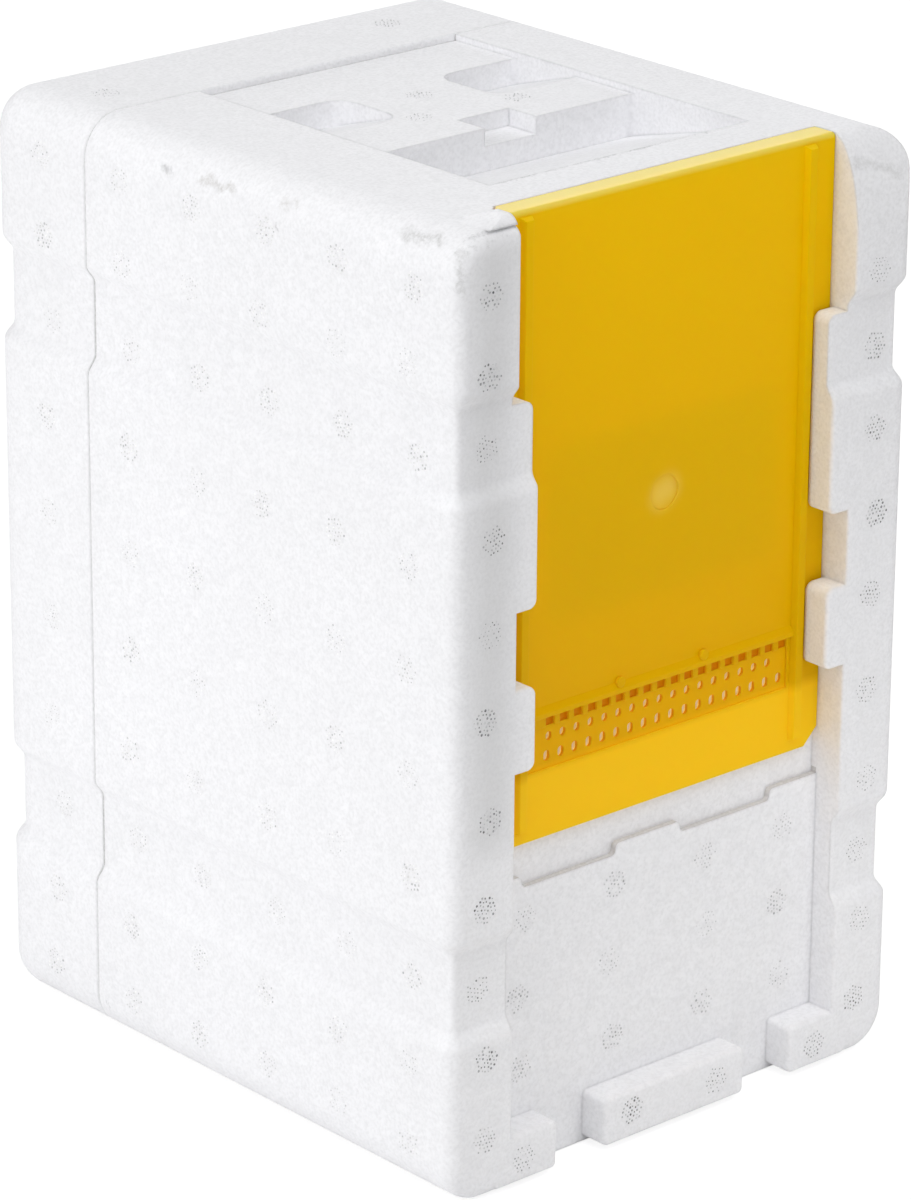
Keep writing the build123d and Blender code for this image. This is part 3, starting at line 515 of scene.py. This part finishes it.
def planed_softwood(name, along):
    """Pale planed wood with growth lines along axis 0, 1 or 2."""
    material, tree, shader = blank_material(name)
    place = add_node(tree, "ShaderNodeTexCoord").outputs["Object"]
    cut = add_node(tree, "ShaderNodeObjectInfo").outputs["Random"]
    shifted = add_node(tree, "ShaderNodeVectorMath", {0: place, 1: cut}, operation="ADD")
    ring_scale = [1 / (GRAIN_SPACING * MM)] * 3
    ring_scale[along] /= GRAIN_STRETCH
    fibre_scale = [1 / (FIBRE_WIDTH * MM)] * 3
    fibre_scale[along] /= GRAIN_STRETCH
    ring_place = add_node(tree, "ShaderNodeMapping", {
        "Vector": shifted.outputs[0], "Scale": ring_scale})
    rings = add_node(tree, "ShaderNodeTexNoise", {
        "Vector": ring_place.outputs[0], "Scale": 1.0, "Detail": 1.0, "Distortion": 0.4})
    fibre_place = add_node(tree, "ShaderNodeMapping", {
        "Vector": shifted.outputs[0], "Scale": fibre_scale})
    fibres = add_node(tree, "ShaderNodeTexNoise", {
        "Vector": fibre_place.outputs[0], "Scale": 1.0, "Detail": 3.0})
    late = add_node(tree, "ShaderNodeMapRange", {
        "Value": rings.outputs["Fac"], "From Min": 0.42, "From Max": 0.68},
        interpolation_type="SMOOTHSTEP")
    wood = add_node(tree, "ShaderNodeMix", {
        "Factor": late.outputs[0], "A": linear("E6C896"), "B": linear("C99A5C")},
        data_type="RGBA").outputs["Result"]
    streak = add_node(tree, "ShaderNodeMapRange", {
        "Value": fibres.outputs["Fac"], "From Min": 0.5, "From Max": 0.8, "To Max": 0.35})
    wood = add_node(tree, "ShaderNodeMix", {
        "Factor": streak.outputs[0], "A": wood, "B": linear("B98A50")},
        data_type="RGBA").outputs["Result"]
    tree.links.new(wood, shader.inputs["Base Color"])
    bump = add_node(tree, "ShaderNodeBump", {
        "Height": fibres.outputs["Fac"], "Distance": FIBRE_DEPTH * MM})
    tree.links.new(bump.outputs[0], shader.inputs["Normal"])
    shader.inputs["Roughness"].default_value = 0.62
    return material


wood_across = planed_softwood("planed_pine_across_hive", 0)
wood_upright = planed_softwood("planed_pine_upright", 1)
print("wood with growth lines", GRAIN_SPACING, "mm apart")

# %% [markdown]
# The starter strips are beeswax foundation: sheets of wax pressed between rollers that stamp the
# hexagonal bases of worker cells into them, 5.4 mm from side to side. A point's distance to the
# nearest middle of a cell, with the middles set out in staggered rows, draws exactly that
# honeycomb: one grid of middles serves the even rows and a second, half a cell along, the odd ones.

# %% Beeswax
CELL_WIDTH = 5.4
CELL_DEPTH = 0.5
WAX_GLOW_DEPTH = 1.5


def pressed_beeswax(name):
    """Beeswax foundation, stamped with hexagonal cell bases."""
    material, tree, shader = blank_material(name)
    place = add_node(tree, "ShaderNodeTexCoord").outputs["Object"]
    axes = add_node(tree, "ShaderNodeSeparateXYZ", {0: place}).outputs
    row_height = CELL_WIDTH * MM * math.sqrt(3) / 2
    rows = add_node(tree, "ShaderNodeMath", {0: axes["Y"], 1: row_height}, operation="DIVIDE")
    columns = add_node(tree, "ShaderNodeMath", {
        0: axes["X"], 1: CELL_WIDTH * MM}, operation="DIVIDE")
    distances = []
    for stagger in (0.0, 0.5):
        half_row = add_node(tree, "ShaderNodeMath", {
            0: rows.outputs[0], 1: 0.5, 2: stagger}, operation="MULTIPLY_ADD")
        across = add_node(tree, "ShaderNodeMath", {
            0: columns.outputs[0], 1: stagger}, operation="ADD")
        in_row = add_node(tree, "ShaderNodeMath", {
            0: half_row.outputs[0], 1: 0.5, 2: -0.5}, operation="WRAP")
        in_column = add_node(tree, "ShaderNodeMath", {
            0: across.outputs[0], 1: 0.5, 2: -0.5}, operation="WRAP")
        tall = add_node(tree, "ShaderNodeMath", {
            0: in_row.outputs[0], 1: math.sqrt(3)}, operation="MULTIPLY")
        offset = add_node(tree, "ShaderNodeCombineXYZ", {
            "X": in_column.outputs[0], "Y": tall.outputs[0]})
        length = add_node(tree, "ShaderNodeVectorMath", {0: offset.outputs[0]}, operation="LENGTH")
        distances.append(length.outputs["Value"])
    nearest = add_node(tree, "ShaderNodeMath", {
        0: distances[0], 1: distances[1]}, operation="MINIMUM")
    wall = add_node(tree, "ShaderNodeMapRange", {
        "Value": nearest.outputs[0], "From Min": 0.3, "From Max": 0.55},
        interpolation_type="SMOOTHSTEP")
    colour = add_node(tree, "ShaderNodeMix", {
        "Factor": wall.outputs[0], "A": linear("D9A23C"), "B": linear("EBC062")},
        data_type="RGBA")
    tree.links.new(colour.outputs["Result"], shader.inputs["Base Color"])
    bump = add_node(tree, "ShaderNodeBump", {
        "Height": wall.outputs[0], "Distance": CELL_DEPTH * MM})
    tree.links.new(bump.outputs[0], shader.inputs["Normal"])
    shader.inputs["Roughness"].default_value = 0.42
    shader.inputs["IOR"].default_value = 1.44
    shader.inputs["Subsurface Weight"].default_value = 0.35
    shader.inputs["Subsurface Radius"].default_value = (1.0, 0.6, 0.2)
    shader.inputs["Subsurface Scale"].default_value = WAX_GLOW_DEPTH * MM
    return material


beeswax = pressed_beeswax("pressed_beeswax_foundation")
print("wax with cells", CELL_WIDTH, "mm wide")

# %% [markdown]
# Now each CAD solid gets its finish. The frame bars are told apart by name, since a top bar's grain
# runs across the hive and an end bar's runs up and down it. Curved CAD faces arrive as flat facets,
# so shading is smoothed wherever two facets meet at a small angle, and edges stay crisp.

# %% Dress the CAD solids
SMOOTH_ANGLE = math.radians(24)
FINISHES = {
    "hive_body": foam,
    "lid": foam,
    "floor_slide": slide_plastic,
    "cover_sheet": clear_sheet,
    "feeder": feeder_plastic,
    "top_bar": wood_across,
    "bottom_bar": wood_across,
    "left_end_bar": wood_upright,
    "right_end_bar": wood_upright,
    "wax_strip": beeswax,
}

for name, solid in nodes.items():
    finish = next(FINISHES[start] for start in FINISHES if name.startswith(start))
    solid.data.materials.clear()
    solid.data.materials.append(finish)
    solid.data.shade_smooth()
    solid.data.set_sharp_from_angle(angle=SMOOTH_ANGLE)
print("dressed", len(nodes), "solids in", len(set(FINISHES.values())), "finishes")

# %% [markdown]
# Steam reaches the beads through round vents in the mould, each a disc with a few dozen pin holes.
# Foam creeps a little way into the holes, so the finished box is dotted all over with small round
# groups of raised pips. This table says which way each face looks, which tone its pips have, and
# where its vents are, in the two axes that lie in the face. On the sides the pips are nearly as
# white as the foam. On the entrance end they have gathered dust, and on the floor side, which lies
# on the ground in use, they are darker still: dirt, and painted shade for the shadow in pin holes.

# %% Where the vents are
SIDE_COLUMNS = (-73, -47, -20, 7, 33, 65)
SIDE_ROWS = (14, 34, 57, 83, 110, 137, 163, 189, 211, 231)
RAIL_ROWS = (15, 38, 56, 76, 100, 125, 148, 170, 191, 210, 231)
LID_COLUMNS = (-54, -27, 0, 27, 54)


def grid(across, up):
    """Every pairing of two lists of places."""
    return [(a, b) for a in across for b in up]


FACES = (
    ((-1, 0, 0), "clean", grid(SIDE_COLUMNS, SIDE_ROWS)),
    ((1, 0, 0), "clean", grid(SIDE_COLUMNS, SIDE_ROWS)),
    ((0, -1, 0), "soiled", grid((-64, 64), RAIL_ROWS)),
    ((0, -1, 0), "dusty", grid((-45, -15, 17, 43), (26, 46, 66))),
    ((0, -1, 0), "soiled", grid((-50, -15, 15, 50), (8,))),
    ((0, 1, 0), "clean", grid(LID_COLUMNS, SIDE_ROWS)),
    ((0, 0, 1), "dusty", ((5, 15), (21, -3), (-8, 0), (-58, 60), (40, 66))),
    ((0, 0, -1), "clean", grid(LID_COLUMNS, (-62, -36, -10, 16, 66))),
)
print("places for", sum(len(vents) for outward, tone, vents in FACES), "vents")

# %% [markdown]
# The pips are real relief, so they are modelled: every pin hole of a vent sends a ray to the foam,
# and a pip grows where it lands. A vent that would straddle an edge, where the foam is not flat, is
# left out. No two vents are alike, so their places, turns and pips vary a little. The random
# numbers come from one seeded series, which makes the same hive on every run.

# %% Pips of one vent
VENT_RADIUS = 3.9
PIP_SPACING = 1.15
PIP_JITTER = 0.18
PIP_RADIUS = 0.34
PIP_HEIGHT = 0.28
PIP_ROOT = 0.02
PIP_SIDES = 6
FLAT_WITHIN = 0.15

view_graph = bpy.context.evaluated_depsgraph_get()
foam_surfaces = {"hive": BVHTree.FromObject(nodes["hive_body"], view_graph),
                 "lid": BVHTree.FromObject(nodes["lid"], view_graph)}


def pin_holes():
    """Pin holes of one vent: a hexagonal field of points inside a circle."""
    reach = int(VENT_RADIUS / PIP_SPACING) + 1
    row_height = PIP_SPACING * math.sqrt(3) / 2
    for row in range(-reach, reach + 1):
        for column in range(-reach, reach + 1):
            point = Vector(((column + row % 2 / 2) * PIP_SPACING, row * row_height))
            if point.length <= VENT_RADIUS:
                yield point


def drop(start, direction):
    """First foam surface below a point: (body, place, normal), or None."""
    hits = []
    for body, surface in foam_surfaces.items():
        place, normal, _, distance = surface.ray_cast(start, direction)
        if place is not None:
            hits.append((distance, body, place, normal))
    return min(hits, key=lambda hit: hit[0])[1:] if hits else None


def vent_pips(middle, outward, first, second, draws):
    """Body, and the place and normal of each pip of a vent, or None where foam is not flat."""
    found = drop(middle, -outward)
    if not found:
        return None
    body, seat, normal = found
    spin = draws.uniform(0, math.tau)
    landed = []
    for point in pin_holes():
        point += Vector((draws.uniform(-PIP_JITTER, PIP_JITTER),
                         draws.uniform(-PIP_JITTER, PIP_JITTER)))
        offset = Vector((0, 0, 0))
        offset[first] = (point.x * math.cos(spin) - point.y * math.sin(spin)) * MM
        offset[second] = (point.x * math.sin(spin) + point.y * math.cos(spin)) * MM
        hit = drop(middle + offset, -outward)
        if not hit or hit[0] != body or abs((hit[1] - seat).dot(normal)) > FLAT_WITHIN * MM:
            return None
        landed.append(hit[1:])
    return body, landed


def add_pip(points, facets, place, normal, size):
    """Add one pip, a low cone of foam, to the lists of a mesh."""
    side = normal.orthogonal().normalized()
    other = normal.cross(side)
    start = len(points)
    for corner in range(PIP_SIDES):
        angle = math.tau * corner / PIP_SIDES
        rim = side * math.cos(angle) + other * math.sin(angle)
        points.append(place + rim * PIP_RADIUS * size * MM - normal * PIP_ROOT * MM)
        facets.append((start + corner, start + (corner + 1) % PIP_SIDES, start + PIP_SIDES))
    points.append(place + normal * PIP_HEIGHT * size * MM)


print("a vent has", len(list(pin_holes())), "pin holes")

# %% [markdown]
# All vents are laid out in one pass. Pips are gathered by the body that they sit on and by their
# tone, because one mesh can ride on only one body and wear one finish.

# %% Lay out the vents
VENT_JITTER = 1.2
VENT_SIZES = (0.65, 1.1)
PIP_SIZES = (0.6, 1.15)
PIPS_MISSING = 0.06
RAY_START = 0.4
SEED = 7

draws = random.Random(SEED)
pips = {}
for outward, tone, vents in FACES:
    outward = Vector(outward)
    first, second = [i for i in range(3) if not outward[i]]
    for vent in vents:
        middle = outward * RAY_START
        middle[first] = (vent[0] + draws.uniform(-VENT_JITTER, VENT_JITTER)) * MM
        middle[second] = (vent[1] + draws.uniform(-VENT_JITTER, VENT_JITTER)) * MM
        vent_size = draws.uniform(*VENT_SIZES)
        made = vent_pips(middle, outward, first, second, draws)
        if made:
            body, landed = made
            points, facets = pips.setdefault((body, tone), ([], []))
            for place, normal in landed:
                if draws.random() > PIPS_MISSING:
                    add_pip(points, facets, place, normal, draws.uniform(*PIP_SIZES) * vent_size)
for (body, tone), (points, facets) in pips.items():
    print(body, "carries", len(facets) // PIP_SIDES, tone, "pips")

# %% [markdown]
# Pips are the same foam as the skin, and what tells them apart is their grey: the dirt that catches
# on them, and on the floor side also painted shade that stands for the shadow in the pin holes.
# Each tone runs between two greys by a noise as coarse as the pips are spaced, so that some tips
# are dark and their neighbours clean.

# %% Vent marks
PIP_TONES = {
    "clean": ("BEBEC0", "FFFFFF"),
    "dusty": ("B0B0B2", "F4F4F6"),
    # The darker greys here are dirt, and on the darkest tone also painted shade for the shadow in pin
    # holes.
    "soiled": ("6A6A6C", "DCDCDE"),
}


def pip_foam(name, dark, light):
    """Foam of raised pips, with dirt and painted shade on some of them."""
    material, tree, shader = blank_material(name)
    place = add_node(tree, "ShaderNodeTexCoord").outputs["Object"]
    dirt_and_shade = add_node(tree, "ShaderNodeTexNoise", {
        "Vector": place, "Scale": 1 / (PIP_SPACING * MM), "Detail": 1.0})
    spread = add_node(tree, "ShaderNodeMapRange", {
        "Value": dirt_and_shade.outputs["Fac"], "From Min": 0.35, "From Max": 0.65})
    colour = add_node(tree, "ShaderNodeMix", {
        "Factor": spread.outputs[0], "A": linear(dark), "B": linear(light)}, data_type="RGBA")
    tree.links.new(colour.outputs["Result"], shader.inputs["Base Color"])
    shader.inputs["Roughness"].default_value = FOAM_ROUGHNESS
    return material


pip_finishes = {tone: pip_foam(f"foam_pips_{tone}", *greys) for tone, greys in PIP_TONES.items()}
for (body, tone), (points, facets) in pips.items():
    mesh = bpy.data.meshes.new(f"{body}_{tone}_vent_marks")
    mesh.from_pydata([tuple(p) for p in points], [], facets)
    mesh.materials.append(pip_finishes[tone])
    mesh.shade_smooth()
    marks = bpy.data.objects.new(f"{body}_{tone}_vent_marks", mesh)
    bpy.context.scene.collection.objects.link(marks)
    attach(marks, body)
print("vent marks on", len(pips), "meshes in", len(pip_finishes), "tones")
